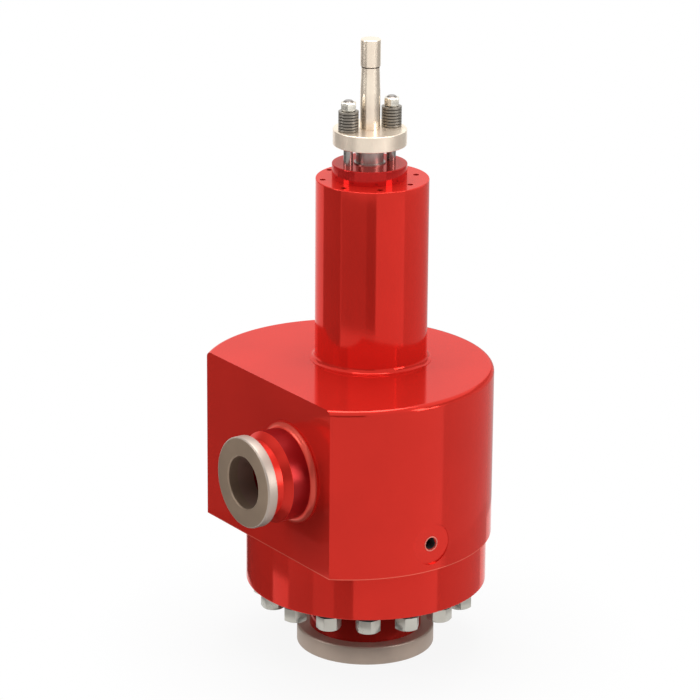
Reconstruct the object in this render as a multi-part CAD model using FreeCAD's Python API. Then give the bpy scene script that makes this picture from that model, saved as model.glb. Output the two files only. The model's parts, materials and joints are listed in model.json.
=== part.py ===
import FreeCAD, Part
import math
import os

# Angle pattern control valve: side inlet, bottom outlet, drilled cage trim.
# Origin: centre of the outlet hub's end face. +Z runs up the stem, the inlet faces -X.
# All sizes in millimetres, all angles in degrees.

UP = FreeCAD.Vector(0, 0, 1)
SIDE = FreeCAD.Vector(1, 0, 0)
REAR = FreeCAD.Vector(0, 1, 0)

# Shared clearances
RUN_GAP = 0.05
FIT_GAP = 0.1
FACE_GAP = 0.3
BOLT_CLEAR = 0.9

# Heights of the pieces on the main axis, from the outlet up
OUTLET_HUB_TOP = 33.0
OUTLET_NECK_L = 88.0
COVER_H = 106.0
RETAINER_H = 63.0
SEAT_H = 40.0
PLUG_WEB_RISE = 22.0
PLUG_H = 82.0
STROKE = 50.0
PLUG_ROOM = 8.0
BODY_ROOF = 55.0
GUIDE_DROP = 5.0
NECK_H = 319.0
BOSS_H = 26.0
BOX_DEPTH = 170.0
SPACER_H = 60.0
SHOULDER_RISE = 2.0
GLAND_RISE = 32.5
GLAND_H = 27.3
SPRINGS_H = 35.2
STEM_BARE_L = 63.8
STEM_NECK_L = 44.4
STEM_HEAD_L = 46.0

# Levels that follow from them
COVER_BOTTOM = OUTLET_HUB_TOP + OUTLET_NECK_L
BODY_BOTTOM = COVER_BOTTOM + COVER_H
SEAT_SEAL_Z = BODY_BOTTOM + RETAINER_H
SEAT_Z = SEAT_SEAL_Z + SEAT_H
PLUG_WEB_TOP = SEAT_Z + PLUG_WEB_RISE
PLUG_TOP = SEAT_Z + PLUG_H
GALLERY_TOP = PLUG_TOP + STROKE + PLUG_ROOM
BODY_TOP = GALLERY_TOP + BODY_ROOF
GUIDE_TOP = BODY_TOP - GUIDE_DROP
NECK_TOP = BODY_TOP + NECK_H
BOSS_TOP = NECK_TOP + BOSS_H
BOX_BOTTOM = BOSS_TOP - BOX_DEPTH
SPACER_TOP = BOX_BOTTOM + SPACER_H
FOLLOWER_SHOULDER = BOSS_TOP + SHOULDER_RISE
GLAND_BOTTOM = BOSS_TOP + GLAND_RISE
GLAND_TOP = GLAND_BOTTOM + GLAND_H
SPRING_TOP = GLAND_TOP + SPRINGS_H
STEM_SHOULDER_TOP = GLAND_TOP + STEM_BARE_L
STEM_NECK_TOP = STEM_SHOULDER_TOP + STEM_NECK_L
STEM_TOP = STEM_NECK_TOP + STEM_HEAD_L

# Joint of body and cover, from the gallery outwards
GALLERY_R = 130.0
GASKET_LAND = 6.0
COVER_GASKET_W = 14.0
COVER_GASKET_H = 4.0
SCREW_CIRCLE_STEP = 25.0
COVER_RIM_W = 34.3
LAND_STEP = 2.2
COVER_GASKET_IN_R = GALLERY_R + GASKET_LAND
COVER_GASKET_OUT_R = COVER_GASKET_IN_R + COVER_GASKET_W
SCREW_CIRCLE_R = COVER_GASKET_OUT_R + SCREW_CIRCLE_STEP
COVER_R = SCREW_CIRCLE_R + COVER_RIM_W
LAND_R = COVER_R + LAND_STEP

# Body: a round block set off the main axis, with a flat for the inlet
BODY_R = 250.0
BODY_X = -50.0
BODY_Y = -12.0
BODY_RIM = 9.0
LAND_H = 70.0
FLAT_X = -216.0

# Neck and boss on top of the body
NECK_R = 96.4
NECK_X = 3.6
NECK_Y = -3.7
NECK_FOOT = 9.0
FOOT_LIP = 0.6
NECK_EDGE = 1.5
BOSS_R = 64.0
BOSS_ROOT = 3.0
BOSS_EDGE = 1.5
YOKE_HOLE_R = 5.1
YOKE_HOLE_DEPTH = 24.0
YOKE_CIRCLE_R = 80.8
YOKE_HOLES = 8

# Side inlet
INLET_Y = -79.0
INLET_RISE = 155.0
INLET_Z = BODY_BOTTOM + INLET_RISE
INLET_BORE_R = 45.0
INLET_PASSAGE_STEP = 5.0
INLET_PASSAGE_R = INLET_BORE_R + INLET_PASSAGE_STEP
INLET_R = 78.0
INLET_NECK_R = 66.0
INLET_HUB_T = 19.0
INLET_NECK_L = 19.0
INLET_CONE_L = INLET_R - INLET_NECK_R
INLET_REACH = 93.0
INLET_FACE_X = FLAT_X - INLET_REACH
INLET_FILLET = 8.0
INLET_FOOT_STEP = 9.6
INLET_FOOT_R = INLET_R + INLET_FOOT_STEP
INLET_FOOT_T = 2.0
HUB_EDGE = 1.2

# Leak-off port in the body wall
PORT_RISE = 48.0
PORT_Z = BODY_BOTTOM + PORT_RISE
PORT_R = 10.0
PORT_THREAD_L = 32.0
PORT_MOUTH = 2.0
PORT_DRILL_R = 6.0
SPOT_R = 36.0
SPOT_DEPTH = 3.2

# Bottom cover and outlet
COVER_EDGE = 2.0
COVER_JOINT_EDGE = 0.5
OUTLET_R = 120.2
OUTLET_BORE_R = 70.0
OUTLET_NECK_R = 98.0
OUTLET_FILLET = 10.0
SPIGOT_L = 23.0
RETAINER_R = 112.0

# Cover screws and washers
SCREWS = 16
SCREW_R = 12.0
SCREW_GRIP = 42.0
SCREW_HOLE_SPARE = 8.0
HEAD_FLATS = 38.0
HEAD_H = 25.0
HEAD_TURN = 37.0
WASHER_H = 8.0
WASHER_R = 21.5

# Hexagons: their free end is turned to a cone round a flat circle
CROWN_SHARE = 0.93
CROWN_ANGLE = 30.0

# Gasket under the seat ring
SEAT_GASKET_EDGE = 8.0
SEAT_GASKET_W = 12.0
SEAT_GASKET_H = 3.0
SEAT_GASKET_OUT_R = RETAINER_R - SEAT_GASKET_EDGE
SEAT_GASKET_IN_R = SEAT_GASKET_OUT_R - SEAT_GASKET_W

# Trim
THROAT_R = 52.0
SEAT_BEVEL = 4.0
CAGE_WALL = 15.0
CAGE_SPACE = 3.0
CAGE_IN_R = 62.0
CAGE_OUT_R = CAGE_IN_R + CAGE_WALL
CAGE_HOLE_R = 4.5
CAGE_ROW_COUNT = 4
CAGE_FIRST_ROW = 11.0
CAGE_ROW_PITCH = 12.0
CAGE_ROWS = [SEAT_Z + CAGE_FIRST_ROW + CAGE_ROW_PITCH * k for k in range(CAGE_ROW_COUNT)]
CAGE_PER_ROW = 16
OUTER_CAGE_IN_R = CAGE_OUT_R + CAGE_SPACE
OUTER_CAGE_OUT_R = OUTER_CAGE_IN_R + CAGE_WALL
OUTER_HOLE_R = 6.5
OUTER_ROW_COUNT = 3
OUTER_FIRST_ROW = 13.0
OUTER_ROW_PITCH = 16.0
OUTER_ROWS = [SEAT_Z + OUTER_FIRST_ROW + OUTER_ROW_PITCH * k for k in range(OUTER_ROW_COUNT)]
OUTER_PER_ROW = 12

# Plug and its seal
PLUG_WALL = 15.0
PLUG_HUB_R = 27.0
BALANCE_R = 5.0
BALANCE_CIRCLE_R = 37.0
BALANCE_HOLES = 4
SEAL_DROP = 27.0
SEAL_H = 6.0
SEAL_LOW = PLUG_TOP - SEAL_DROP
SEAL_HIGH = SEAL_LOW + SEAL_H
SEAL_ROOT_R = 56.0

# Stem and the pin that locks it to the plug
STEM_R = 17.0
STEM_END_R = 14.0
STEM_NECK_R = 15.4
STEM_EDGE = 1.5
STEM_NECK_EDGE = 0.5
PIN_R = 4.0
PIN_DROP = 16.0
PIN_Z = PLUG_TOP - PIN_DROP
PIN_HALF_L = 25.5

# Stem guide, packing and gland
STEM_PASSAGE_R = 20.0
BOX_R = 27.0
RING_H = 9.0
RING_PITCH = 9.3
PACKING_RINGS = 7
FOLLOWER_R = 23.5
FOLLOWER_POCKET = 6.0
GLAND_R = 62.6
GLAND_EDGE = 1.5
STUD_R = 8.0
STUD_SPAN = 40.4
STUD_ANGLE = -9.0
STUD_DEPTH = 38.0
STUD_PROUD = 2.5
NUT_FLATS = 24.0
NUT_H = 15.0

# Dished spring washers
DISC_R = 17.2
DISC_PAIRS = 7
DISC_FLAT = 1.8
DISC_DISH = 0.8


def at(x, y, z):
    return FreeCAD.Vector(x, y, z)


def rounding(before, middle, after):
    return Part.Arc(before, middle, after).toShape()


def turned(points, x=0.0, y=0.0):
    """Solid of revolution about the vertical line through (x, y).

    A point (r, z) is a sharp corner, a point (r, z, size) is a rounded one.
    """
    corners = [at(p[0], 0, p[1]) for p in points]
    count = len(points)
    edges = []
    starts = []
    ends = []
    for i, here in enumerate(corners):
        if len(points[i]) > 2:
            size = points[i][2]
            before = here + (corners[i - 1] - here).normalize() * size
            after = here + (corners[(i + 1) % count] - here).normalize() * size
            centre = before + after - here
            middle = centre + (here - centre).normalize() * size
            edges.append(rounding(before, middle, after))
            starts.append(before)
            ends.append(after)
        else:
            starts.append(here)
            ends.append(here)
    for i in range(count):
        edges.append(Part.LineSegment(ends[i], starts[(i + 1) % count]).toShape())
    face = Part.Face(Part.Wire(Part.__sortEdges__(edges)))
    solid = face.revolve(at(0, 0, 0), UP, 360)
    if solid.Volume < 0:
        solid.reverse()
    solid.translate(at(x, y, 0))
    return solid


def tube(r_in, r_out, z_low, z_high, x=0.0, y=0.0):
    return turned([(r_in, z_low), (r_out, z_low), (r_out, z_high), (r_in, z_high)], x, y)


def rod(r, z_low, z_high, x=0.0, y=0.0):
    return Part.makeCylinder(r, z_high - z_low, at(x, y, z_low), UP)


def on_circle(count, radius, first=0.0):
    """Places evenly spread on a circle, the first one at the given angle."""
    angles = [math.radians(first + 360 / count * k) for k in range(count)]
    return [(radius * math.cos(a), radius * math.sin(a)) for a in angles]


def hexagon(flats, z_low, height, spot, turn, crown_up):
    """Hexagonal prism with the corners of its free end turned off."""
    x, y = spot
    corner = flats / math.sqrt(3)
    ring = [at(x + px, y + py, z_low) for px, py in on_circle(6, corner, turn)]
    prism = Part.Face(Part.makePolygon(ring + ring[:1])).extrude(at(0, 0, height))
    z_high = z_low + height
    outside = corner + FIT_GAP
    inside = flats / 2 * CROWN_SHARE
    slope = (outside - inside) * math.tan(math.radians(CROWN_ANGLE))
    if crown_up:
        outline = [(0, z_low), (outside, z_low), (outside, z_high - slope), (inside, z_high), (0, z_high)]
    else:
        outline = [(0, z_low), (inside, z_low), (outside, z_low + slope), (outside, z_high), (0, z_high)]
    return prism.common(turned(outline, x, y))


def stud_spots():
    return on_circle(2, STUD_SPAN, 180 + STUD_ANGLE)


def screw_spots():
    return on_circle(SCREWS, SCREW_CIRCLE_R, 180 / SCREWS)


def along_inlet(points):
    """Solid of revolution about the inlet axis, from (r, distance from the inlet face)."""
    solid = turned(points)
    solid.rotate(at(0, 0, 0), REAR, 90)
    solid.translate(at(INLET_FACE_X, INLET_Y, INLET_Z))
    return solid


def port_cutters():
    """Leak-off port: spot face, chamfered mouth, thread bore and the drilled way in."""
    floor = BODY_Y - BODY_R + SPOT_DEPTH
    mouth = at(BODY_X, floor + PORT_MOUTH, PORT_Z)
    thread_end = at(BODY_X, floor + PORT_THREAD_L, PORT_Z)
    spot = Part.makeCylinder(SPOT_R, BODY_R, at(BODY_X, floor, PORT_Z), -REAR)
    chamfer = Part.makeCone(PORT_R, PORT_R + PORT_MOUTH, PORT_MOUTH, mouth, -REAR)
    thread = Part.makeCylinder(PORT_R, PORT_THREAD_L, thread_end, -REAR)
    drill = Part.makeCylinder(PORT_DRILL_R, -floor - GALLERY_R + 2 * PORT_R, at(BODY_X, floor, PORT_Z), REAR)
    return [spot, chamfer, thread, drill]


def valve_body():
    block = turned([(0, BODY_BOTTOM), (BODY_R, BODY_BOTTOM), (BODY_R, BODY_TOP, BODY_RIM), (0, BODY_TOP)],
                   BODY_X, BODY_Y)
    block = block.fuse(rod(LAND_R, BODY_BOTTOM, BODY_BOTTOM + LAND_H))
    beyond_flat = Part.makeBox(BODY_R, 4 * BODY_R, BODY_TOP, at(FLAT_X - BODY_R, -2 * BODY_R, 0))
    gallery = rod(GALLERY_R, BODY_BOTTOM, GALLERY_TOP)
    guide_seat = rod(BOX_R, GALLERY_TOP, GUIDE_TOP)
    stem_way = rod(STEM_PASSAGE_R, GUIDE_TOP, BODY_TOP)
    passage = Part.makeCylinder(INLET_PASSAGE_R, -FLAT_X, at(FLAT_X, INLET_Y, INLET_Z), SIDE)
    tapped = []
    for x, y in screw_spots():
        tapped.append(rod(SCREW_R + FIT_GAP, BODY_BOTTOM, BODY_BOTTOM + SCREW_GRIP + SCREW_HOLE_SPARE, x, y))
    return block.cut([beyond_flat, gallery, guide_seat, stem_way, passage] + port_cutters() + tapped)


def bonnet_neck():
    foot_r = NECK_R + NECK_FOOT
    foot_z = BODY_TOP + FOOT_LIP
    shaft = turned([(0, BODY_TOP), (foot_r, BODY_TOP), (foot_r, foot_z), (NECK_R, foot_z, NECK_FOOT - FOOT_LIP),
                    (NECK_R, NECK_TOP, NECK_EDGE), (0, NECK_TOP)], NECK_X, NECK_Y)
    root_z = NECK_TOP - BOSS_ROOT
    boss = turned([(0, root_z), (BOSS_R, root_z), (BOSS_R, BOSS_TOP, BOSS_EDGE), (0, BOSS_TOP)])
    holes = [rod(STEM_PASSAGE_R, BODY_TOP, BOX_BOTTOM), rod(BOX_R, BOX_BOTTOM, BOSS_TOP)]
    for x, y in on_circle(YOKE_HOLES, YOKE_CIRCLE_R, 180 / YOKE_HOLES):
        holes.append(rod(YOKE_HOLE_R, NECK_TOP - YOKE_HOLE_DEPTH, NECK_TOP, x, y))
    for x, y in stud_spots():
        holes.append(rod(STUD_R + FIT_GAP, BOSS_TOP - STUD_DEPTH, BOSS_TOP, x, y))
    return shaft.fuse(boss).removeSplitter().cut(holes)


def inlet_nozzle():
    neck_end = INLET_HUB_T + INLET_NECK_L
    ridge = neck_end + INLET_CONE_L
    flat = FLAT_X - INLET_FACE_X
    foot = flat - INLET_FOOT_T
    return along_inlet([(INLET_BORE_R, INLET_HUB_T), (INLET_NECK_R, INLET_HUB_T), (INLET_NECK_R, neck_end),
                        (INLET_R, ridge), (INLET_R, foot, INLET_FILLET), (INLET_FOOT_R, foot),
                        (INLET_FOOT_R, flat), (INLET_BORE_R, flat)])


def inlet_hub():
    return along_inlet([(INLET_BORE_R, 0), (INLET_R, 0, HUB_EDGE),
                        (INLET_R, INLET_HUB_T, HUB_EDGE), (INLET_BORE_R, INLET_HUB_T)])


def bottom_cover():
    """Disc with the gasket groove, the spigot that centres it and the retainer that holds the seat."""
    spigot_r = GALLERY_R - FIT_GAP
    spigot_z = BODY_BOTTOM + SPIGOT_L
    groove_z = BODY_BOTTOM - COVER_GASKET_H
    groove = [(COVER_GASKET_OUT_R, BODY_BOTTOM), (COVER_GASKET_OUT_R, groove_z),
              (COVER_GASKET_IN_R, groove_z), (COVER_GASKET_IN_R, BODY_BOTTOM)]
    seat_groove_z = SEAT_SEAL_Z - SEAT_GASKET_H
    seat_groove = [(SEAT_GASKET_OUT_R, SEAT_SEAL_Z), (SEAT_GASKET_OUT_R, seat_groove_z),
                   (SEAT_GASKET_IN_R, seat_groove_z), (SEAT_GASKET_IN_R, SEAT_SEAL_Z)]
    disc = [(OUTLET_BORE_R, COVER_BOTTOM), (COVER_R, COVER_BOTTOM, COVER_EDGE),
            (COVER_R, BODY_BOTTOM, COVER_JOINT_EDGE)]
    retainer = [(spigot_r, BODY_BOTTOM), (spigot_r, spigot_z),
                (RETAINER_R, spigot_z), (RETAINER_R, SEAT_SEAL_Z)]
    blank = turned(disc + groove + retainer + seat_groove + [(OUTLET_BORE_R, SEAT_SEAL_Z)])
    return blank.cut([rod(SCREW_R + BOLT_CLEAR, COVER_BOTTOM, BODY_BOTTOM, x, y) for x, y in screw_spots()])


def outlet_neck():
    foot_r = OUTLET_NECK_R + OUTLET_FILLET + FOOT_LIP
    foot_z = COVER_BOTTOM - FOOT_LIP
    return turned([(OUTLET_BORE_R, OUTLET_HUB_TOP), (OUTLET_NECK_R, OUTLET_HUB_TOP),
                   (OUTLET_NECK_R, foot_z, OUTLET_FILLET), (foot_r, foot_z),
                   (foot_r, COVER_BOTTOM), (OUTLET_BORE_R, COVER_BOTTOM)])


def outlet_hub():
    return turned([(OUTLET_BORE_R, 0), (OUTLET_R, 0, HUB_EDGE),
                   (OUTLET_R, OUTLET_HUB_TOP, HUB_EDGE), (OUTLET_BORE_R, OUTLET_HUB_TOP)])


def cover_screws():
    """Screws from below; every head has come to rest at its own angle."""
    washer_low = COVER_BOTTOM - WASHER_H
    screws = []
    for k, spot in enumerate(screw_spots()):
        head = hexagon(HEAD_FLATS, washer_low - HEAD_H, HEAD_H, spot, HEAD_TURN * k, False)
        shank = rod(SCREW_R, washer_low, BODY_BOTTOM + SCREW_GRIP, *spot)
        screws.append(head.fuse(shank))
    return Part.makeCompound(screws)


def cover_washers():
    low = COVER_BOTTOM - WASHER_H
    washers = [tube(SCREW_R + FIT_GAP, WASHER_R, low, COVER_BOTTOM, x, y) for x, y in screw_spots()]
    return Part.makeCompound(washers)


def cover_gasket():
    low = BODY_BOTTOM - COVER_GASKET_H
    return tube(COVER_GASKET_IN_R + FIT_GAP, COVER_GASKET_OUT_R - FIT_GAP, low, BODY_BOTTOM)


def seat_gasket():
    low = SEAT_SEAL_Z - SEAT_GASKET_H
    return tube(SEAT_GASKET_IN_R + FIT_GAP, SEAT_GASKET_OUT_R - FIT_GAP, low, SEAT_SEAL_Z)


def seat_ring():
    funnel_top = SEAT_SEAL_Z + OUTLET_BORE_R - THROAT_R
    return turned([(OUTLET_BORE_R, SEAT_SEAL_Z), (RETAINER_R, SEAT_SEAL_Z), (RETAINER_R, SEAT_Z),
                   (THROAT_R + SEAT_BEVEL, SEAT_Z), (THROAT_R, SEAT_Z - SEAT_BEVEL), (THROAT_R, funnel_top)])


def drilled_sleeve(radii, rows, per_row, hole_r):
    """Sleeve with rows of radial holes, every other row turned by half a pitch."""
    sleeve = tube(radii[0], radii[1], SEAT_Z, GALLERY_TOP)
    half_pitch = 180 / per_row
    drills = []
    for row, z in enumerate(rows):
        for x, y in on_circle(per_row, radii[0] / 2, half_pitch * (row % 2)):
            drills.append(Part.makeCylinder(hole_r, radii[1], at(x, y, z), at(x, y, 0)))
    return sleeve.cut(drills)


def inner_cage():
    return drilled_sleeve((CAGE_IN_R, CAGE_OUT_R), CAGE_ROWS, CAGE_PER_ROW, CAGE_HOLE_R)


def outer_cage():
    return drilled_sleeve((OUTER_CAGE_IN_R, OUTER_CAGE_OUT_R), OUTER_ROWS, OUTER_PER_ROW, OUTER_HOLE_R)


def plug():
    """Balanced plug: bevelled nose, skirt with its seal groove, web with balance holes and stem socket."""
    skirt_r = CAGE_IN_R - RUN_GAP
    wall_r = skirt_r - PLUG_WALL
    nose_z = SEAT_Z - SEAT_BEVEL
    nose_r = THROAT_R - FACE_GAP * math.sqrt(2)
    bevel_top = nose_z + skirt_r - nose_r
    socket_r = STEM_END_R + FIT_GAP
    nose = [(0, nose_z), (nose_r, nose_z), (skirt_r, bevel_top)]
    groove = [(skirt_r, SEAL_LOW), (SEAL_ROOT_R, SEAL_LOW), (SEAL_ROOT_R, SEAL_HIGH), (skirt_r, SEAL_HIGH)]
    skirt = [(skirt_r, PLUG_TOP), (wall_r, PLUG_TOP), (wall_r, PLUG_WEB_TOP)]
    hub = [(PLUG_HUB_R, PLUG_WEB_TOP), (PLUG_HUB_R, PLUG_TOP), (socket_r, PLUG_TOP), (socket_r, PLUG_WEB_TOP)]
    blank = turned(nose + groove + skirt + hub + [(0, PLUG_WEB_TOP)])
    balance_spots = on_circle(BALANCE_HOLES, BALANCE_CIRCLE_R, 180 / BALANCE_HOLES)
    holes = [rod(BALANCE_R, nose_z, PLUG_WEB_TOP, x, y) for x, y in balance_spots]
    return blank.cut(holes + [pin_hole(PLUG_HUB_R)])


def pin_hole(reach):
    return Part.makeCylinder(PIN_R + FIT_GAP / 2, 2 * reach, at(-reach, 0, PIN_Z), SIDE)


def plug_seal():
    return tube(SEAL_ROOT_R + FIT_GAP, CAGE_IN_R - RUN_GAP / 2, SEAL_LOW + FIT_GAP, SEAL_HIGH - FIT_GAP)


def plug_pin():
    return Part.makeCylinder(PIN_R, 2 * PIN_HALF_L, at(-PIN_HALF_L, 0, PIN_Z), SIDE)


def stem():
    """Stem from its end in the plug to the tapered neck and the head that an actuator clamps."""
    lower = [(0, PLUG_WEB_TOP), (STEM_END_R, PLUG_WEB_TOP), (STEM_END_R, PLUG_TOP), (STEM_R, PLUG_TOP)]
    neck = [(STEM_R, STEM_SHOULDER_TOP), (STEM_NECK_R, STEM_NECK_TOP)]
    head = [(STEM_R, STEM_NECK_TOP, STEM_NECK_EDGE), (STEM_R, STEM_TOP, STEM_EDGE), (0, STEM_TOP)]
    return turned(lower + neck + head).cut(pin_hole(STEM_R))


def guide_bushing():
    return tube(STEM_R + RUN_GAP, BOX_R - FIT_GAP, GALLERY_TOP, GUIDE_TOP)


def packing_spacer():
    return tube(STEM_R + RUN_GAP, BOX_R - FIT_GAP, BOX_BOTTOM, SPACER_TOP)


def packing_rings():
    lows = [SPACER_TOP + RING_PITCH * k for k in range(PACKING_RINGS)]
    return Part.makeCompound([tube(STEM_R + RUN_GAP, BOX_R - FIT_GAP, low, low + RING_H) for low in lows])


def gland_follower():
    low = SPACER_TOP + RING_PITCH * PACKING_RINGS
    high = GLAND_BOTTOM + FOLLOWER_POCKET
    bore = STEM_R + FACE_GAP
    outside = BOX_R - FIT_GAP
    return turned([(bore, low), (outside, low), (outside, FOLLOWER_SHOULDER),
                   (FOLLOWER_R, FOLLOWER_SHOULDER), (FOLLOWER_R, high), (bore, high)])


def gland_flange():
    bore = STEM_R + FACE_GAP
    pocket_r = FOLLOWER_R + FIT_GAP
    pocket_z = GLAND_BOTTOM + FOLLOWER_POCKET
    plate = turned([(bore, pocket_z), (pocket_r, pocket_z), (pocket_r, GLAND_BOTTOM),
                    (GLAND_R, GLAND_BOTTOM, GLAND_EDGE), (GLAND_R, GLAND_TOP, GLAND_EDGE), (bore, GLAND_TOP)])
    return plate.cut([rod(STUD_R + BOLT_CLEAR, GLAND_BOTTOM, GLAND_TOP, x, y) for x, y in stud_spots()])


def gland_studs():
    top = SPRING_TOP + NUT_H + STUD_PROUD
    return Part.makeCompound([rod(STUD_R, BOSS_TOP - STUD_DEPTH, top, x, y) for x, y in stud_spots()])


def gland_nuts():
    nuts = []
    for spot in stud_spots():
        nut = hexagon(NUT_FLATS, SPRING_TOP, NUT_H, spot, STUD_ANGLE, True)
        nuts.append(nut.cut(rod(STUD_R + FIT_GAP, SPRING_TOP, SPRING_TOP + NUT_H, *spot)))
    return Part.makeCompound(nuts)


def spring_stack(x, y):
    """Dished spring washers in pairs, rim to rim, around a gland stud."""
    pitch = (SPRING_TOP - GLAND_TOP) / DISC_PAIRS
    bore = STUD_R + BOLT_CLEAR / 2
    land = bore + DISC_FLAT
    pairs = []
    for k in range(DISC_PAIRS):
        low = GLAND_TOP + pitch * k
        high = low + pitch
        pairs.append(turned([(bore, low), (land, low), (DISC_R, low + DISC_DISH),
                             (DISC_R, high - DISC_DISH), (land, high), (bore, high)], x, y))
    return Part.makeCompound(pairs)


def left_springs():
    return spring_stack(*stud_spots()[0])


def right_springs():
    return spring_stack(*stud_spots()[1])


NODES = {
    "valve_body": valve_body,
    "bonnet_neck": bonnet_neck,
    "inlet_nozzle": inlet_nozzle,
    "inlet_hub": inlet_hub,
    "bottom_cover": bottom_cover,
    "outlet_neck": outlet_neck,
    "outlet_hub": outlet_hub,
    "cover_screws": cover_screws,
    "cover_washers": cover_washers,
    "cover_gasket": cover_gasket,
    "seat_gasket": seat_gasket,
    "seat_ring": seat_ring,
    "inner_cage": inner_cage,
    "outer_cage": outer_cage,
    "plug": plug,
    "plug_seal": plug_seal,
    "plug_pin": plug_pin,
    "stem": stem,
    "guide_bushing": guide_bushing,
    "packing_spacer": packing_spacer,
    "packing_rings": packing_rings,
    "gland_follower": gland_follower,
    "gland_flange": gland_flange,
    "gland_studs": gland_studs,
    "gland_nuts": gland_nuts,
    "left_springs": left_springs,
    "right_springs": right_springs,
}

os.makedirs("parts", exist_ok=True)
for node, make in NODES.items():
    make().exportStep("parts/" + node + ".step")
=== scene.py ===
import json
import math

import bpy
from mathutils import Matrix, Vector


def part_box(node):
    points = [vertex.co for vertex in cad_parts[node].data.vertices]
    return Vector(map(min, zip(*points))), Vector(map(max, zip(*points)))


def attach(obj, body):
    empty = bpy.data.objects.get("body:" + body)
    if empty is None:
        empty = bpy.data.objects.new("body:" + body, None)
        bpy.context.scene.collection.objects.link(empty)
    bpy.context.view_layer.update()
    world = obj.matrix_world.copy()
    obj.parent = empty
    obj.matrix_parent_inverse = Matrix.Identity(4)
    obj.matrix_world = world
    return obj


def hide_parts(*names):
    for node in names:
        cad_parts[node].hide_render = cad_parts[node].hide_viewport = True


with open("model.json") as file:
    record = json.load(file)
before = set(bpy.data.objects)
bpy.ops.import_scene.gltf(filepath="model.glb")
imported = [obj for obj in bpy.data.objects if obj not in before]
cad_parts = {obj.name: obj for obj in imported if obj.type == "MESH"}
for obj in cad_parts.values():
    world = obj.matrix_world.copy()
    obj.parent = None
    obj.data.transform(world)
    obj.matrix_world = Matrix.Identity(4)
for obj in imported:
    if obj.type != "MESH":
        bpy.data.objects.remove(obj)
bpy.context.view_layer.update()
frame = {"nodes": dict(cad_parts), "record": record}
nodes = frame["nodes"]

MM = 0.001
UP = (0, 0, 1)
DOWN = (0, 0, -1)
ORIGIN = (0, 0, 0)


def mount(name):
    """One of the part's mounts."""
    return [m for m in frame["record"]["mounts"] if m["name"] == name][0]


def middle(node):
    """Middle of a solid's box."""
    low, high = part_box(node)
    return [(a + b) / 2 for a, b in zip(low, high)]


# Colours
RED = (0.70, 0.03, 0.02)
# Painted shade on the nozzle's wall in its groove
NOZZLE_WALL_SHADE = (0.30, 0.010, 0.012)
# Painted highlight on the nozzle's fillet
NOZZLE_FILLET_HIGHLIGHT = (0.78, 0.10, 0.07)
SHADED_RED = (0.36, 0.014, 0.01)
# Painted shade on the side of the neck's boss
BOSS_SHADE_RED = (0.50, 0.018, 0.016)
# Painted highlight along the body's lower edge
EDGE_HIGHLIGHT_RED = (0.85, 0.13, 0.09)
# Painted shadow on the cover under the body's overhanging edge
JOINT_SHADOW_RED = (0.12, 0.006, 0.005)
# Painted highlight on the lip round the leak-off port
RIM_HIGHLIGHT_RED = (0.80, 0.20, 0.15)
RED_SHEEN = (1.0, 0.42, 0.36)
INLET_STEEL = (0.33, 0.24, 0.17)
# Painted highlight on the inlet hub's rim
RIM_HIGHLIGHT_STEEL = (0.48, 0.40, 0.34)
OUTLET_STEEL = (0.46, 0.366, 0.30)
BORE_STEEL = (0.36, 0.25, 0.20)
CREAM_STEEL = (0.97, 0.81, 0.66)
SCREW_ZINC = (0.56, 0.545, 0.485)
NUT_ZINC = (0.80, 0.76, 0.67)
DARK_STEEL = (0.34, 0.27, 0.25)
STUD_STEEL = (0.34, 0.31, 0.29)
SPRING_STEEL = (0.26, 0.235, 0.20)
# Black oxide; on the leak-off port's thread the same black is painted shade down the hole
BLACK_OXIDE_AND_PORT_SHADE = (0.006, 0.004, 0.004)
TRIM_STEEL = (0.55, 0.53, 0.50)
GRAPHITE = (0.035, 0.035, 0.038)
BRONZE = (0.48, 0.28, 0.10)
SEAL_WHITE = (0.62, 0.60, 0.53)
# Painted shadow under the stem's head
HEAD_SHADOW_BROWN = (0.06, 0.04, 0.03)


def new_material(name, colour, metallic, roughness):
    """A Principled material with its colour and gloss set."""
    mat = bpy.data.materials.new(name)
    mat.use_nodes = True
    bsdf = mat.node_tree.nodes["Principled BSDF"]
    bsdf.inputs["Base Color"].default_value = (*colour, 1)
    bsdf.inputs["Metallic"].default_value = metallic
    bsdf.inputs["Roughness"].default_value = roughness
    return mat, mat.node_tree, bsdf


def add_coordinates(tree, scale=(1, 1, 1), shift=ORIGIN):
    """Object coordinates, stretched and shifted by a Mapping node."""
    coords = tree.nodes.new("ShaderNodeTexCoord")
    mapping = tree.nodes.new("ShaderNodeMapping")
    mapping.inputs["Scale"].default_value = scale
    mapping.inputs["Location"].default_value = shift
    tree.links.new(coords.outputs["Object"], mapping.inputs["Vector"])
    return mapping.outputs["Vector"]


def add_math(tree, operation, first, second):
    """A Math node of two inputs, each a socket or a number."""
    node = tree.nodes.new("ShaderNodeMath")
    node.operation = operation
    for slot, value in enumerate((first, second)):
        if isinstance(value, float):
            node.inputs[slot].default_value = value
        else:
            tree.links.new(value, node.inputs[slot])
    return node.outputs["Value"]


def mixed(tree, kind, factor, first, second):
    """A Mix node's result; its inputs are sockets, numbers or colours."""
    node = tree.nodes.new("ShaderNodeMix")
    node.data_type = kind
    first_slot, second_slot, result = {"FLOAT": (2, 3, 0), "RGBA": (6, 7, 2)}[kind]
    tree.links.new(factor, node.inputs[0])
    for slot, value in ((first_slot, first), (second_slot, second)):
        if hasattr(value, "is_output"):
            tree.links.new(value, node.inputs[slot])
        else:
            node.inputs[slot].default_value = value
    return node.outputs[result]


def length_of(tree, vector):
    """How long a vector is."""
    node = tree.nodes.new("ShaderNodeVectorMath")
    node.operation = "LENGTH"
    tree.links.new(vector, node.inputs[0])
    return node.outputs["Value"]


def place_along(tree, axis):
    """How far along X, Y or Z a point of the surface lies."""
    node = tree.nodes.new("ShaderNodeSeparateXYZ")
    tree.links.new(add_coordinates(tree), node.inputs[0])
    return node.outputs[axis]


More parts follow.
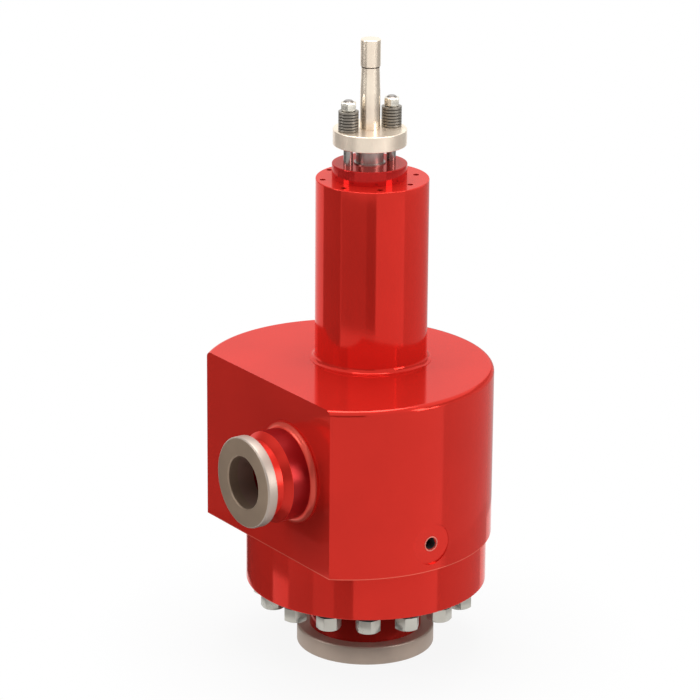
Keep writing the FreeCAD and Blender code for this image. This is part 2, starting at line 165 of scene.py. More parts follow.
def add_noise(tree, vector, scale, detail=3.0):
    """Noise of a given scale on a vector."""
    noise = tree.nodes.new("ShaderNodeTexNoise")
    noise.inputs["Scale"].default_value = scale
    noise.inputs["Detail"].default_value = detail
    tree.links.new(vector, noise.inputs["Vector"])
    return noise.outputs["Fac"]


def add_bump(tree, bsdf, height, strength, distance):
    """Fine relief, with its depth in metres."""
    bump = tree.nodes.new("ShaderNodeBump")
    bump.inputs["Strength"].default_value = strength
    bump.inputs["Distance"].default_value = distance
    tree.links.new(height, bump.inputs["Height"])
    tree.links.new(bump.outputs["Normal"], bsdf.inputs["Normal"])


def spread_over(tree, value, low, high, start=0.0, end=1.0):
    """Low to high, as a value goes from start to end."""
    node = tree.nodes.new("ShaderNodeMapRange")
    node.inputs["From Min"].default_value = start
    node.inputs["From Max"].default_value = end
    node.inputs["To Min"].default_value = low
    node.inputs["To Max"].default_value = high
    tree.links.new(value, node.inputs["Value"])
    return node.outputs["Result"]


def vary_colour(tree, bsdf, factor, colour, darker, lighter):
    """The base colour moves between a darker and a lighter shade as the factor does."""
    ramp = tree.nodes.new("ShaderNodeValToRGB")
    for stop, position, amount in zip(ramp.color_ramp.elements, (0.3, 0.7), (darker, lighter)):
        stop.position = position
        stop.color = (*[min(1.0, c * amount) for c in colour], 1)
    tree.links.new(factor, ramp.inputs["Fac"])
    tree.links.new(ramp.outputs["Color"], bsdf.inputs["Base Color"])


def overpaint(tree, mask, colour):
    """Another base colour where a mask is 1."""
    base = tree.nodes["Principled BSDF"].inputs["Base Color"]
    tree.links.new(mixed(tree, "RGBA", mask, base.links[0].from_socket, (*colour, 1)), base)


def inside_bore(tree, axis, centre, radius, end):
    """1 inside a bore that runs along X or Z up to its end, 0 outside it."""
    across = (0, 1, 1) if axis == "X" else (1, 1, 0)
    shift = tuple(-c * k for c, k in zip(centre, across))
    reach = length_of(tree, add_coordinates(tree, across, shift))
    near = add_math(tree, "LESS_THAN", reach, radius)
    short = add_math(tree, "LESS_THAN", place_along(tree, axis), end)
    return add_math(tree, "MULTIPLY", near, short)


PAINT_ROUGHNESS = 0.1
BORE_ROUGHNESS = 0.4


def gloss_paint(name, colour, bores, roughness=PAINT_ROUGHNESS):
    """Smooth red metallic enamel with a faint orange peel; the bores are left bare and machined."""
    mat, tree, bsdf = new_material(name, colour, metallic=0.42, roughness=roughness)
    bsdf.inputs["IOR"].default_value = 1.4
    bsdf.inputs["Specular Tint"].default_value = (*RED_SHEEN, 1)
    vector = add_coordinates(tree)
    cloud = add_noise(tree, vector, scale=6.0)
    vary_colour(tree, bsdf, cloud, colour, darker=0.95, lighter=1.05)
    peel = add_noise(tree, vector, scale=300.0, detail=1.0)
    add_bump(tree, bsdf, peel, strength=0.02, distance=0.0002)
    bare = inside_bore(tree, *bores[0])
    for bore in bores[1:]:
        bare = add_math(tree, "MAXIMUM", bare, inside_bore(tree, *bore))
    overpaint(tree, bare, BORE_STEEL)
    tree.links.new(mixed(tree, "FLOAT", bare, roughness, BORE_ROUGHNESS), bsdf.inputs["Roughness"])
    return mat


def turned_steel(name, colour, roughness, metallic=1.0, lines=(1, 1, 900), axis="Z", centre=ORIGIN):
    """Machined steel with the fine lines of the cutting tool: rings on its ends, turns on its sides."""
    mat, tree, bsdf = new_material(name, colour, metallic, roughness)
    turns = add_noise(tree, add_coordinates(tree, lines), scale=1.0, detail=2.0)
    rings = tree.nodes.new("ShaderNodeTexWave")
    rings.wave_type = "RINGS"
    rings.rings_direction = axis
    rings.inputs["Scale"].default_value = 420.0
    rings.inputs["Distortion"].default_value = 1.5
    rings.inputs["Detail"].default_value = 2.0
    centred = add_coordinates(tree, shift=tuple(-c for c in centre))
    tree.links.new(centred, rings.inputs["Vector"])
    both = add_math(tree, "ADD", turns, rings.outputs["Fac"])
    add_bump(tree, bsdf, both, strength=0.12, distance=0.0001)
    patches = add_noise(tree, add_coordinates(tree), scale=18.0, detail=4.0)
    vary_colour(tree, bsdf, patches, colour, darker=0.9, lighter=1.08)
    gloss = spread_over(tree, patches, low=roughness * 0.85, high=roughness * 1.2)
    tree.links.new(gloss, bsdf.inputs["Roughness"])
    return mat


def dull_solid(name, colour, roughness, grain_scale):
    """Graphite, seal plastic, oxide and painted port shade, painted rim highlight: not metallic, with a
    fine grain.
    """
    mat, tree, bsdf = new_material(name, colour, 0.0, roughness)
    grain = add_noise(tree, add_coordinates(tree), grain_scale)
    vary_colour(tree, bsdf, grain, colour, darker=0.8, lighter=1.2)
    add_bump(tree, bsdf, grain, strength=0.15, distance=0.0002)
    return mat


def add_band(mat, axis, low, high, colour):
    """Another colour on the part of a piece that lies between two places along an axis."""
    tree = mat.node_tree
    along = place_along(tree, axis)
    above = add_math(tree, "GREATER_THAN", along, low)
    below = add_math(tree, "LESS_THAN", along, high)
    overpaint(tree, add_math(tree, "MULTIPLY", above, below), colour)


def add_rim_highlight(mat, centre, radius, colour):
    """Painted highlight: a brighter colour outside a radius, on a hub whose bore runs along X."""
    tree = mat.node_tree
    face = inside_bore(tree, "X", centre, radius, 0.0)
    overpaint(tree, add_math(tree, "SUBTRACT", 1.0, face), colour)


# Paints, with the bores they leave bare. A bare bore's mask reaches half a millimetre past its wall
MASK_EDGE = 0.0005
STEM_AXIS = (0, 0, 0)
INLET_AXIS = (0, *mount("inlet_bore")["pos_m"][1:])
GALLERY_R = 0.130
GALLERY_TOP = 0.470
INLET_PASSAGE_R = 0.050
STUFFING_BOX_R = 0.027
INLET_BORE_R = mount("inlet_bore")["dims"]["r_mm"] * MM
OUTLET_BORE_R = mount("outlet_bore")["dims"]["r_mm"] * MM
OPEN_END = 1.0

gallery = ("Z", STEM_AXIS, GALLERY_R + MASK_EDGE, GALLERY_TOP + MASK_EDGE)
inlet_passage = ("X", INLET_AXIS, INLET_PASSAGE_R + MASK_EDGE, 0.0)
stuffing_box = ("Z", STEM_AXIS, STUFFING_BOX_R + MASK_EDGE, OPEN_END)
inlet_bore = ("X", INLET_AXIS, INLET_BORE_R + MASK_EDGE, 0.0)
outlet_bore = ("Z", STEM_AXIS, OUTLET_BORE_R + MASK_EDGE, OPEN_END)

body_paint = gloss_paint("body_paint", RED, [gallery, inlet_passage])
neck_paint = gloss_paint("neck_paint", RED, [stuffing_box])
nozzle_paint = gloss_paint("nozzle_paint", RED, [inlet_bore], roughness=0.3)
cover_paint = gloss_paint("cover_paint", RED, [outlet_bore])
shaded_paint = gloss_paint("shaded_paint", SHADED_RED, [outlet_bore])
# The lip's lighter red is a painted highlight
rim_paint = dull_solid("rim_paint", RIM_HIGHLIGHT_RED, roughness=0.35, grain_scale=500.0)

# Painted shade and highlight in bands: the neck's boss, the nozzle's groove and fillet, the joint under
# the body
BOSS_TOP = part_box("bonnet_neck")[1][2]
BOSS_SHADE_H = 0.0255
ABOVE_BOSS = 0.001
GROOVE_START = -0.2587
FILLET_START = -0.2262
FILLET_END = -0.218
JOINT_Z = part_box("valve_body")[0][2]
JOINT_OVERLAP = 0.0001
EDGE_HIGHLIGHT_H = 0.0016
JOINT_SHADOW_H = 0.0026
# Painted shade on the side of the neck's boss
add_band(neck_paint, "Z", BOSS_TOP - BOSS_SHADE_H, BOSS_TOP + ABOVE_BOSS, BOSS_SHADE_RED)
# Painted shade on the nozzle's wall in the groove behind the hub
add_band(nozzle_paint, "X", GROOVE_START, FILLET_START, NOZZLE_WALL_SHADE)
# Painted highlight on the nozzle's fillet next to the flat
add_band(nozzle_paint, "X", FILLET_START, FILLET_END, NOZZLE_FILLET_HIGHLIGHT)
# Painted highlight along the body's lower edge
add_band(body_paint, "Z", JOINT_Z - JOINT_OVERLAP, JOINT_Z + EDGE_HIGHLIGHT_H, EDGE_HIGHLIGHT_RED)
# Painted shadow on the cover under the body's edge
add_band(cover_paint, "Z", JOINT_Z - JOINT_SHADOW_H, JOINT_Z + JOINT_OVERLAP, JOINT_SHADOW_RED)

# Steels and the other finishes
HUB_FACE_R = 0.0757
STEM_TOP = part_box("stem")[1][2]
STEM_HEAD_H = 0.0462
HEAD_SHADOW_H = 0.002

bare_inlet = turned_steel("bare_steel_inlet", INLET_STEEL, roughness=0.45, metallic=0.55,
                          lines=(900, 1, 1), axis="X", centre=INLET_AXIS)
# Painted highlight on the inlet hub's rounded rim, outside its face
add_rim_highlight(bare_inlet, INLET_AXIS, HUB_FACE_R, RIM_HIGHLIGHT_STEEL)
bare_outlet = turned_steel("bare_steel_outlet", OUTLET_STEEL, roughness=0.45, metallic=0.55)
polished = turned_steel("polished_steel", CREAM_STEEL, roughness=0.24, metallic=0.8)
# Painted shadow: a dark ring just under the stem's head
add_band(polished, "Z", STEM_TOP - STEM_HEAD_H - HEAD_SHADOW_H, STEM_TOP - STEM_HEAD_H, HEAD_SHADOW_BROWN)
flange_steel = turned_steel("flange_steel", CREAM_STEEL, roughness=0.3, metallic=0.7)
zinc_steel = turned_steel("zinc_steel", SCREW_ZINC, roughness=0.28, metallic=0.7)
nut_steel = turned_steel("nut_steel", NUT_ZINC, roughness=0.22, metallic=0.85)
stud_steel = turned_steel("stud_steel", STUD_STEEL, roughness=0.22)
spring_steel = turned_steel("spring_steel", SPRING_STEEL, roughness=0.35, metallic=0.6)
dark_steel = turned_steel("dark_steel", DARK_STEEL, roughness=0.3, metallic=0.9)
trim_steel = turned_steel("trim_steel", TRIM_STEEL, roughness=0.25)
bronze = turned_steel("bronze", BRONZE, roughness=0.3)
# Black oxide on the washers and the plug pin; on the port's thread the black is painted shade
dark_oxide_and_shade = dull_solid("black_oxide", BLACK_OXIDE_AND_PORT_SHADE, roughness=0.75, grain_scale=900.0)
graphite = dull_solid("graphite", GRAPHITE, roughness=0.6, grain_scale=700.0)
seal_white = dull_solid("seal_white", SEAL_WHITE, roughness=0.5, grain_scale=500.0)

FINISHES = {
    body_paint: ("valve_body",),
    neck_paint: ("bonnet_neck",),
    nozzle_paint: ("inlet_nozzle",),
    cover_paint: ("bottom_cover",),
    shaded_paint: ("outlet_neck",),
    bare_inlet: ("inlet_hub",),
    bare_outlet: ("outlet_hub",),
    polished: ("stem",),
    flange_steel: ("gland_flange",),
    zinc_steel: ("cover_screws", "gland_nuts"),
    dark_steel: ("gland_studs", "gland_follower", "left_springs", "right_springs"),
    dark_oxide_and_shade: ("cover_washers", "plug_pin"),
    trim_steel: ("seat_ring", "inner_cage", "outer_cage", "plug", "packing_spacer"),
    graphite: ("cover_gasket", "seat_gasket", "packing_rings"),
    bronze: ("guide_bushing",),
    seal_white: ("plug_seal",),
}
for finish, names in FINISHES.items():
    for name in names:
        nodes[name].data.materials.clear()
        nodes[name].data.materials.append(finish)


# Fastenings, springs, hubs and port, modelled over the plain solids. Outlines are in millimetres
DOUBLES = 0.000002
BEVEL_STEPS = 2
BEVEL_ANGLE = math.radians(28)
EASE_STEPS = 6
SMOOTH_STEEL = 30
SMOOTH_ROUND = 40
SPIN_STEPS = 48
HEXAGON_STEPS = 72
SHANK_STEPS = 40
DISC_STEPS = 64
HUB_STEPS = 128
THREAD_STEPS = 28
THREAD_FOOT = 0.3
THREAD_FLANK = 0.42
THREAD_CREST = 0.08
CORNER_GAP = 0.1
CROWN_SHARE = 0.93
CROWN_SLOPE = math.tan(math.radians(30))


def finished(obj, name, material, body):
    """Name a piece, give it its finish and seat it on its body."""
    obj.name = name
    obj.data.name = name
    obj.data.materials.clear()
    obj.data.materials.append(material)
    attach(obj, body)


def only(obj):
    """Select one piece and nothing else."""
    bpy.ops.object.select_all(action="DESELECT")
    obj.select_set(True)
    bpy.context.view_layer.objects.active = obj


def edit(obj):
    """Open one piece in edit mode, with all of it selected."""
    only(obj)
    bpy.ops.object.mode_set(mode="EDIT")
    bpy.ops.mesh.select_all(action="SELECT")


def clean_up(obj):
    """Merge doubles and turn every face outwards."""
    edit(obj)
    bpy.ops.mesh.remove_doubles(threshold=DOUBLES)
    bpy.ops.mesh.normals_make_consistent(inside=False)
    bpy.ops.object.mode_set(mode="OBJECT")


def smoothed(obj, degrees):
    """Smooth shading, except across edges sharper than an angle."""
    only(obj)
    bpy.ops.object.shade_smooth_by_angle(angle=math.radians(degrees))
    return obj


def apply_modifier(obj, kind, **settings):
    """Add a modifier with its settings and apply it."""
    only(obj)
    modifier = obj.modifiers.new(kind.lower(), kind)
    for key, value in settings.items():
        setattr(modifier, key, value)
    bpy.ops.object.modifier_apply(modifier=modifier.name)


def softened(obj, width):
    """Small bevels on the sharp edges, with smooth shading between them."""
    apply_modifier(obj, "BEVEL", width=width * MM, segments=BEVEL_STEPS, limit_method="ANGLE",
                   angle_limit=BEVEL_ANGLE)
    return smoothed(obj, SMOOTH_ROUND)


def set_down(obj, place, turn=ORIGIN):
    """Turn a piece and set it down, with its place in its mesh."""
    only(obj)
    obj.rotation_euler = turn
    obj.location = place
    bpy.ops.object.transform_apply(location=True, rotation=True, scale=True)
    return obj


def copied(obj):
    """A copy with its own mesh."""
    twin = obj.copy()
    twin.data = obj.data.copy()
    bpy.context.scene.collection.objects.link(twin)
    return twin


def joined(objs):
    """Several meshes made into one piece."""
    bpy.ops.object.select_all(action="DESELECT")
    for obj in objs:
        obj.select_set(True)
    bpy.context.view_layer.objects.active = objs[0]
    bpy.ops.object.join()
    return objs[0]


def new_plane(size, place=ORIGIN):
    """A level square."""
    bpy.ops.object.select_all(action="DESELECT")
    bpy.ops.mesh.primitive_plane_add(size=size, location=place)
    return bpy.context.object


def draw_outline(points):
    """Open the first point of an outline and extrude it on to the others, in the XZ plane."""
    obj = new_plane(MM)
    edit(obj)
    bpy.ops.mesh.merge(type="CENTER")
    bpy.ops.transform.translate(value=(points[0][0] * MM, 0, points[0][1] * MM))
    for (r1, z1), (r2, z2) in zip(points, points[1:]):
        step = ((r2 - r1) * MM, 0, (z2 - z1) * MM)
        bpy.ops.mesh.extrude_region_move(TRANSFORM_OT_translate={"value": step})
    return obj


def eased(points):
    """Outline in which each right-angled corner given as (radius, height, size) is rounded."""
    line = []
    for i, point in enumerate(points):
        if len(point) == 2:
            line.append(point)
            continue
        here = Vector(point[:2])
        back = (Vector(points[i - 1][:2]) - here).normalized() * point[2]
        ahead = (Vector(points[i + 1][:2]) - here).normalized() * point[2]
        for k in range(EASE_STEPS + 1):
            a = math.pi / 2 * k / EASE_STEPS
            line.append(tuple(here + back + ahead - ahead * math.cos(a) - back * math.sin(a)))
    return line


def spun(points, steps=SPIN_STEPS):
    """Spin an outline of (radius, height) round the upright axis."""
    obj = draw_outline(eased(points))
    bpy.ops.mesh.select_all(action="SELECT")
    bpy.ops.mesh.spin(steps=steps, angle=2 * math.pi, center=ORIGIN, axis=UP)
    bpy.ops.object.mode_set(mode="OBJECT")
    clean_up(obj)
    return obj


def hexagon(flats, outline):
    """Hexagonal bar cut down to what lies inside a spun outline, which gives its crown and bore."""
    corner = flats / math.sqrt(3)
    heights = [point[1] for point in outline]
    depth = (max(heights) - min(heights)) * 2
    bpy.ops.object.select_all(action="DESELECT")
    bpy.ops.mesh.primitive_cylinder_add(vertices=6, radius=corner * MM, depth=depth * MM)
    bar = bpy.context.object
    edit(bar)
    bpy.ops.transform.rotate(value=math.radians(30), orient_axis="Z", center_override=ORIGIN)
    bpy.ops.object.mode_set(mode="OBJECT")
    envelope = spun(outline, HEXAGON_STEPS)
    apply_modifier(bar, "BOOLEAN", operation="INTERSECT", solver="EXACT", object=envelope)
    bpy.data.objects.remove(envelope)
    clean_up(bar)
    return bar


def crown(flats):
    """A hexagon's crown: radius past its corners, radius of its flat end, height of its slope."""
    corner = flats / math.sqrt(3) + CORNER_GAP
    flat_r = flats / 2 * CROWN_SHARE
    return corner, flat_r, (corner - flat_r) * CROWN_SLOPE


def thread(crest, root, pitch, low, high):
    """Ridge of a screw thread, wound up from one closed tooth and capped at both ends."""
    foot = root + (root - crest) * THREAD_FOOT
    flank = pitch * THREAD_FLANK
    top = pitch * THREAD_CREST
    tooth = [(foot, -flank), (root, -flank), (crest, -top), (crest, top), (root, flank), (foot, flank),
             (foot, -flank)]
    obj = draw_outline(tooth)
    bpy.ops.mesh.select_all(action="SELECT")
    bpy.ops.mesh.remove_doubles(threshold=DOUBLES)
    bpy.ops.object.mode_set(mode="OBJECT")
    apply_modifier(obj, "SCREW", angle=2 * math.pi, screw_offset=pitch * MM,
                   iterations=int((high - low) / pitch), steps=THREAD_STEPS, render_steps=THREAD_STEPS,
                   use_merge_vertices=False)
    edit(obj)
    bpy.ops.mesh.remove_doubles(threshold=DOUBLES)
    bpy.ops.mesh.select_all(action="DESELECT")
    bpy.ops.mesh.select_mode(type="EDGE")
    bpy.ops.mesh.select_non_manifold()
    bpy.ops.mesh.fill()
    bpy.ops.mesh.select_mode(type="VERT")
    bpy.ops.object.mode_set(mode="OBJECT")
    clean_up(obj)
    set_down(obj, (0, 0, (low + pitch / 2) * MM))
    return smoothed(obj, SMOOTH_ROUND)


# Gland
LEFT_SPOT = middle("left_springs")
RIGHT_SPOT = middle("right_springs")
STUD_TURN = math.atan2(RIGHT_SPOT[1] - LEFT_SPOT[1], RIGHT_SPOT[0] - LEFT_SPOT[0])
STUD_LOW, STUD_HIGH = [corner[2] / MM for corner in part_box("gland_studs")]
NUT_LOW, NUT_HIGH = [corner[2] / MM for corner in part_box("gland_nuts")]
FLANGE_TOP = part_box("gland_flange")[1][2] / MM
STUD_R = 8.0
STUD_ROOT_R = 6.9
STUD_PITCH = 2.0
STUD_CHAMFER = 1.5
STUD_TIP = 0.6
THREAD_DROP = 4
THREAD_STOP = 0.9
NUT_FLATS = 24.0
NUT_BORE_R = STUD_R + 0.1
NUT_SINK = 0.9
NUT_SOFT = 0.3
DISCS = 14
DISC_GAP = 0.45
DISC_DISH = 0.8
DISC_SOFT = 0.28
DISC_TURN = 0.7


def make_stud():
    """Double-ended stud: plain shank through the gland, thread above it, chamfered ends."""
    plain_top = FLANGE_TOP - THREAD_DROP
    core = STUD_ROOT_R
    shank = spun([(0, STUD_LOW), (STUD_R - STUD_CHAMFER, STUD_LOW), (STUD_R, STUD_LOW + STUD_CHAMFER),
                  (STUD_R, plain_top), (core, plain_top + STUD_R - core), (core, STUD_HIGH - STUD_TIP),
                  (core - STUD_TIP, STUD_HIGH), (0, STUD_HIGH)], SHANK_STEPS)
    smoothed(shank, SMOOTH_STEEL)
    return joined([shank, thread(STUD_R, core, STUD_PITCH, plain_top, STUD_HIGH - THREAD_STOP)])


def make_nut():
    """Hexagon nut, crowned at both ends, with a countersunk bore."""
    height = NUT_HIGH - NUT_LOW
    corner, flat_r, slope = crown(NUT_FLATS)
    bore = NUT_BORE_R
    mouth = bore + NUT_SINK
    nut = hexagon(NUT_FLATS, [(mouth, 0), (flat_r, 0), (corner, slope), (corner, height - slope),
                              (flat_r, height), (mouth, height), (bore, height - NUT_SINK),
                              (bore, NUT_SINK), (mouth, 0)])
    return softened(nut, NUT_SOFT)


def make_disc(bore, rim, thick, dish):
    """One dished spring washer, its hollow side down, with rounded edges."""
    disc = spun([(bore, 0), (rim, dish), (rim, dish + thick), (bore, thick), (bore, 0)], DISC_STEPS)
    return softened(disc, DISC_SOFT)


def spring_stack(name, spot):
    """Dished washers set rim to rim, each second one turned over."""
    low, high = [corner[2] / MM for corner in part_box(name)]
    rim = (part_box(name)[1][0] - spot[0]) / MM
    height = (high - low) / DISCS
    pattern = make_disc(STUD_R + DISC_GAP, rim, height - DISC_DISH, DISC_DISH)
    for k in range(DISCS):
        disc = copied(pattern)
        over = k % 2
        if over:
            set_down(disc, ORIGIN, (math.pi, 0, 0))
        set_down(disc, (spot[0], spot[1], (low + height * (k + over)) * MM), (0, 0, k * DISC_TURN))
        finished(disc, f"{name}_disc_{k + 1:02d}", spring_steel, "valve")
        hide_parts(name)
    bpy.data.objects.remove(pattern)


def gland_fastenings():
    """Two studs with their nuts and their stacks of spring washers."""
    stud = make_stud()
    nut = make_nut()
    for side, spot in (("left", LEFT_SPOT), ("right", RIGHT_SPOT)):
        own_stud = set_down(copied(stud), (spot[0], spot[1], 0))
        finished(own_stud, f"{side}_gland_stud", stud_steel, "valve")
        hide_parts("gland_studs")
        own_nut = set_down(copied(nut), (spot[0], spot[1], NUT_LOW * MM), (0, 0, STUD_TURN))
        finished(own_nut, f"{side}_gland_nut", nut_steel, "valve")
        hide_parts("gland_nuts")
    bpy.data.objects.remove(stud)
    bpy.data.objects.remove(nut)
    spring_stack("left_springs", LEFT_SPOT)
    spring_stack("right_springs", RIGHT_SPOT)


# Cover screws
SCREWS = 16
SCREW_CIRCLE = 0.175
HEAD_FLATS = 38.0
HEAD_TURN = 37.0
HEAD_FACE = 0.7
HEAD_SOFT = 0.5
SCREW_R = 12.0
SCREW_CHAMFER = 2.0
SHANK_ROOT = 1.0
HEAD_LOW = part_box("cover_screws")[0][2] / MM
SCREW_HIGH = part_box("cover_screws")[1][2] / MM
HEAD_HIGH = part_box("cover_washers")[0][2] / MM


def make_cover_screw():
    """Cap screw seen from below: crowned hexagon, turned bearing face and plain shank."""
    height = HEAD_HIGH - HEAD_LOW
    corner, flat_r, slope = crown(HEAD_FLATS)
    head = hexagon(HEAD_FLATS, [(0, 0), (flat_r, 0), (corner, slope), (corner, height - HEAD_FACE),
                                (flat_r, height - HEAD_FACE), (flat_r, height), (0, height)])
    softened(head, HEAD_SOFT)
    end = SCREW_HIGH - HEAD_LOW
    shank = spun([(0, height - SHANK_ROOT), (SCREW_R, height - SHANK_ROOT),
                  (SCREW_R, end - SCREW_CHAMFER), (SCREW_R - SCREW_CHAMFER, end), (0, end)], SHANK_STEPS)
    return joined([head, smoothed(shank, SMOOTH_STEEL)])


def cover_fastenings():
    """The cap screws on their circle, each head turned its own way."""
    screw = make_cover_screw()
    for k in range(SCREWS):
        angle = 2 * math.pi * (k + 0.5) / SCREWS
        place = (SCREW_CIRCLE * math.cos(angle), SCREW_CIRCLE * math.sin(angle), HEAD_LOW * MM)
        own = set_down(copied(screw), place, (0, 0, math.radians(HEAD_TURN * k)))
        finished(own, f"cover_screw_{k + 1:02d}", zinc_steel, "valve")
        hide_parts("cover_screws")
    bpy.data.objects.remove(screw)


# Clamp hubs
HUB_SINK = 2.0
HUB_ROUND = 3.4
INLET_BACK_ROUND = 1.6
OUTLET_FACE_ROUND = 2.0
LAID_ALONG_X = (0, math.pi / 2, 0)
LAID_ALONG_Y = (math.pi / 2, 0, 0)


def hub(bore, rim, thick, face_round, back_round):
    """Clamp hub with a countersunk bore and a rounded rim; its end face is at height 0."""
    ring = spun([(bore, thick), (bore, HUB_SINK), (bore + HUB_SINK, 0), (rim, 0, face_round),
                 (rim, thick, back_round), (bore, thick)], HUB_STEPS)
    return smoothed(ring, SMOOTH_STEEL)


def clamp_hubs():
    """The bare hubs at the inlet and the outlet."""
    low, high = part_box("inlet_hub")
    rim = (high[2] - low[2]) / 2
    bore = mount("inlet_bore")
    ring = hub(bore["dims"]["r_mm"], rim / MM, (high[0] - low[0]) / MM, HUB_ROUND, INLET_BACK_ROUND)
    set_down(ring, bore["pos_m"], LAID_ALONG_X)
    finished(ring, "inlet_clamp_hub", bare_inlet, "valve")
    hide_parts("inlet_hub")
    low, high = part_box("outlet_hub")
    bore = mount("outlet_bore")
    ring = hub(bore["dims"]["r_mm"], high[0] / MM, (high[2] - low[2]) / MM, OUTLET_FACE_ROUND, HUB_ROUND)
    finished(ring, "outlet_clamp_hub", bare_outlet, "valve")
    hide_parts("outlet_hub")


# Leak-off port
PORT_PITCH = 2.3
PORT_TOOTH = 0.9
PORT_ROOT_GAP = 0.05
PORT_THREAD_STOP = 1
RIM_GAP = 1.1
RIM_WIDTH = 2.2
RIM_LOW = 1.0
RIM_HIGH = 2.8
RIM_ROUND = 0.6
port = mount("leak_off_port")
port_wall = port["dims"]["r_mm"]


def port_thread():
    """Screw thread inside the leak-off port, black as painted shade down the hole."""
    ridge = thread(port_wall - PORT_TOOTH, port_wall + PORT_ROOT_GAP, PORT_PITCH,
                   PORT_THREAD_STOP - port["dims"]["length_mm"], 0)
    set_down(ridge, port["pos_m"], LAID_ALONG_Y)
    finished(ridge, "leak_off_thread", dark_oxide_and_shade, "valve")


def port_rim():
    """Low rounded lip of paint round the mouth of the leak-off port, in a lighter red that is a painted
    highlight.
    """
    inner = port_wall + RIM_GAP
    outer = inner + RIM_WIDTH
    rim = spun([(inner, RIM_LOW), (outer, RIM_LOW), (outer, RIM_HIGH, RIM_ROUND),
                (inner, RIM_HIGH, RIM_ROUND), (inner, RIM_LOW)])
    smoothed(rim, SMOOTH_ROUND)
    set_down(rim, port["pos_m"], LAID_ALONG_Y)
    finished(rim, "leak_off_rim", rim_paint, "valve")


gland_fastenings()
cover_fastenings()
clamp_hubs()
port_thread()
port_rim()


# Studio
FLOOR_SIZE = 30.0
FLOOR_DROP = -0.001
FLOOR_GREY = (0.6, 0.6, 0.6)
SHADOW_START = 0.15
SHADOW_END = 0.5
SHADOW_GLOW = 0.9
WORLD_LIGHT = 0.3
FULL_GLOW = 1.0
BLACK = (0, 0, 0)
WHITE = (1, 1, 1, 1)
CARD_STEPS = 24


def soft_lamp(name, place, target, size, watts):
    """A soft box that faces a point of the valve."""
    data = bpy.data.lights.new(name, "AREA")
    data.shape = "RECTANGLE"
    data.size, data.size_y = size
    data.energy = watts
    lamp = bpy.data.objects.new(name, data)
    bpy.context.scene.collection.objects.link(lamp)
    lamp.location = place
    lamp.rotation_mode = "QUATERNION"
    lamp.rotation_quaternion = (Vector(target) - Vector(place)).to_track_quat("-Z", "Y")


def seen_ray(tree):
    """1 for what the camera, a reflection or clear glass sees, 0 for plain light."""
    rays = tree.nodes.new("ShaderNodeLightPath")
    seen = rays.outputs["Is Camera Ray"]
    for kind in ("Is Glossy Ray", "Is Transmission Ray"):
        seen = add_math(tree, "MAXIMUM", seen, rays.outputs[kind])
    return seen


def build_floor():
    """Plain pale floor, white to the camera, with the valve's soft shadow round its foot."""
    floor = new_plane(FLOOR_SIZE, (0, 0, FLOOR_DROP))
    floor.name = "floor"
    mat, tree, bsdf = new_material("pale_floor", FLOOR_GREY, metallic=0.0, roughness=0.9)
    glow = tree.nodes.new("ShaderNodeEmission")
    glow.inputs["Strength"].default_value = FULL_GLOW
    away = length_of(tree, add_coordinates(tree))
    fade = spread_over(tree, away, SHADOW_GLOW, FULL_GLOW, SHADOW_START, SHADOW_END)
    mix = tree.nodes.new("ShaderNodeMixShader")
    tree.links.new(add_math(tree, "MULTIPLY", seen_ray(tree), fade), mix.inputs["Fac"])
    tree.links.new(bsdf.outputs["BSDF"], mix.inputs[1])
    tree.links.new(glow.outputs["Emission"], mix.inputs[2])
    tree.links.new(mix.outputs["Shader"], tree.nodes["Material Output"].inputs["Surface"])
    floor.data.materials.append(mat)


def build_world():
    """Soft even light, and white behind the valve."""
    world = bpy.data.worlds.new("studio")
    bpy.context.scene.world = world
    world.use_nodes = True
    tree = world.node_tree
    background = tree.nodes["Background"]
    background.inputs["Color"].default_value = WHITE
    strength = mixed(tree, "FLOAT", seen_ray(tree), WORLD_LIGHT, FULL_GLOW)
    tree.links.new(strength, background.inputs["Strength"])


def show_in_gloss(card, name, tone):
    """Give a card its name and its tone, and hide it from everything but reflections."""
    card.name = name
    mat, _, bsdf = new_material(name, BLACK, metallic=0.0, roughness=0.5)
    bsdf.inputs["Specular IOR Level"].default_value = 0
    bsdf.inputs["Emission Color"].default_value = WHITE
    bsdf.inputs["Emission Strength"].default_value = tone
    card.data.materials.append(mat)
    card.visible_camera = False
    card.visible_diffuse = False
    card.visible_shadow = False
    card.visible_transmission = False


def flat_card(name, place, width, depth, tone):
    """Level card under a piece, which darkens what its underside reflects."""
    card = new_plane(1.0, place)
    card.scale = (width, depth, 1)
    show_in_gloss(card, name, tone)


def reflection_card(name, start, end, tone, distance, low, high):
    """Curved upright card that lays a stripe in the gloss. It reaches from start to end, in degrees
    counted from +X towards +Y, at a distance from the stem axis and between two heights."""
    card = draw_outline([(distance / MM, low / MM), (distance / MM, high / MM)])
    bpy.ops.mesh.select_all(action="SELECT")
    bpy.ops.mesh.spin(steps=CARD_STEPS, angle=math.radians(end - start), center=ORIGIN, axis=DOWN)
    bpy.ops.object.mode_set(mode="OBJECT")
    card.rotation_euler = (0, 0, math.radians(start))
    show_in_gloss(card, name, tone)


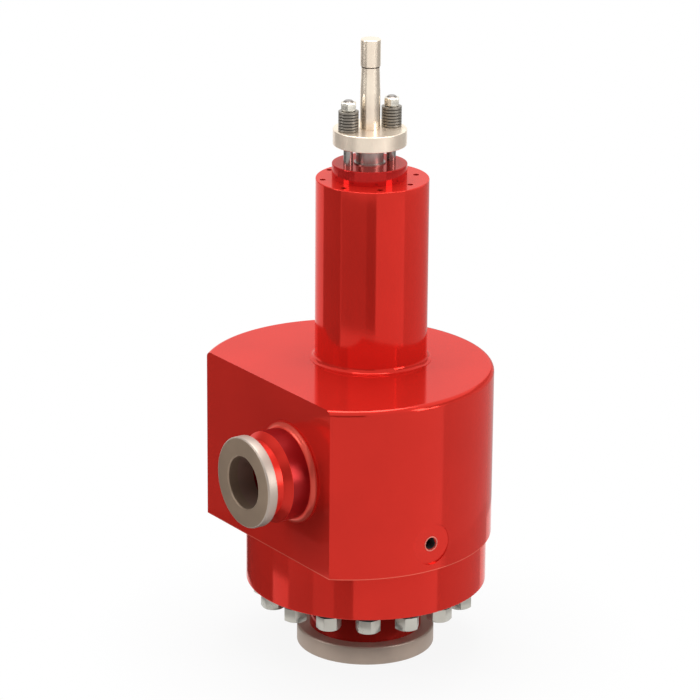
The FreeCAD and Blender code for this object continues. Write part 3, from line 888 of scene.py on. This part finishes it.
# Cards by name, start, end, tone, distance, low and high
CARDS = [
    ("dark_card", 126, 174, 0.12, 0.6, 0.0, 0.7),
    ("grey_card", 174, 225, 0.3, 0.75, 0.38, 0.645),
    ("narrow_card", 225, 243, 0.1, 0.75, 0.38, 0.645),
    ("right_card", 300, 405, 0.6, 0.75, 0.0, 0.645),
    ("high_left_card", 100, 190, 0.2, 0.75, 0.66, 1.0),
    ("high_right_card", 285, 380, 0.3, 0.75, 0.66, 1.0),
    ("low_rear_card", 100, 157, 0.05, 0.42, 0.0, 0.175),
    ("low_left_card", 174, 196, 0.35, 0.42, 0.0, 0.175),
    ("low_middle_card", 196, 212, 0.6, 0.42, 0.0, 0.175),
    ("low_front_card", 212, 226, 0.3, 0.42, 0.0, 0.175),
    ("low_right_card", 290, 350, 0.5, 0.42, 0.0, 0.175),
    ("under_card", 80, 410, 0.03, 0.19, 0.0, 0.08),
]
NOZZLE_CARD_SPOT = (-0.2775, -0.08, 0.27)
NOZZLE_CARD_WIDTH = 0.085
NOZZLE_CARD_DEPTH = 0.13
NOZZLE_CARD_TONE = 0.03

# Lamps by name, place, target, size and watts
LAMPS = [
    ("top_lamp", (0.3, 0.4, 3.4), (0, 0, 0.5), (1.8, 1.8), 75),
    ("right_lamp", (1.6, -3.2, 1.5), (0, 0, 0.6), (1.2, 2.2), 60),
    ("left_lamp", (-3.0, 1.1, 1.4), (0, 0, 0.6), (1.0, 2.0), 45),
]

build_floor()
build_world()
for card in CARDS:
    reflection_card(*card)
flat_card("nozzle_card", NOZZLE_CARD_SPOT, NOZZLE_CARD_WIDTH, NOZZLE_CARD_DEPTH, NOZZLE_CARD_TONE)
for lamp in LAMPS:
    soft_lamp(*lamp)

scene = bpy.context.scene
scene.view_settings.view_transform = "Standard"

# Camera
CAMERA_PLACE = (-3.3859, -4.7748, 2.5136)
CAMERA_TURN = (71.3272, -0.4310, -34.8957)
CAMERA_LENS = 185.06
CAMERA_SENSOR = 36.0
CLIP_START = 0.1
CLIP_END = 100.0

camera_data = bpy.data.cameras.new("camera")
camera_data.lens = CAMERA_LENS
camera_data.sensor_width = CAMERA_SENSOR
camera_data.clip_start = CLIP_START
camera_data.clip_end = CLIP_END
camera = bpy.data.objects.new("camera", camera_data)
scene.collection.objects.link(camera)
camera.location = CAMERA_PLACE
camera.rotation_euler = [math.radians(a) for a in CAMERA_TURN]
scene.camera = camera
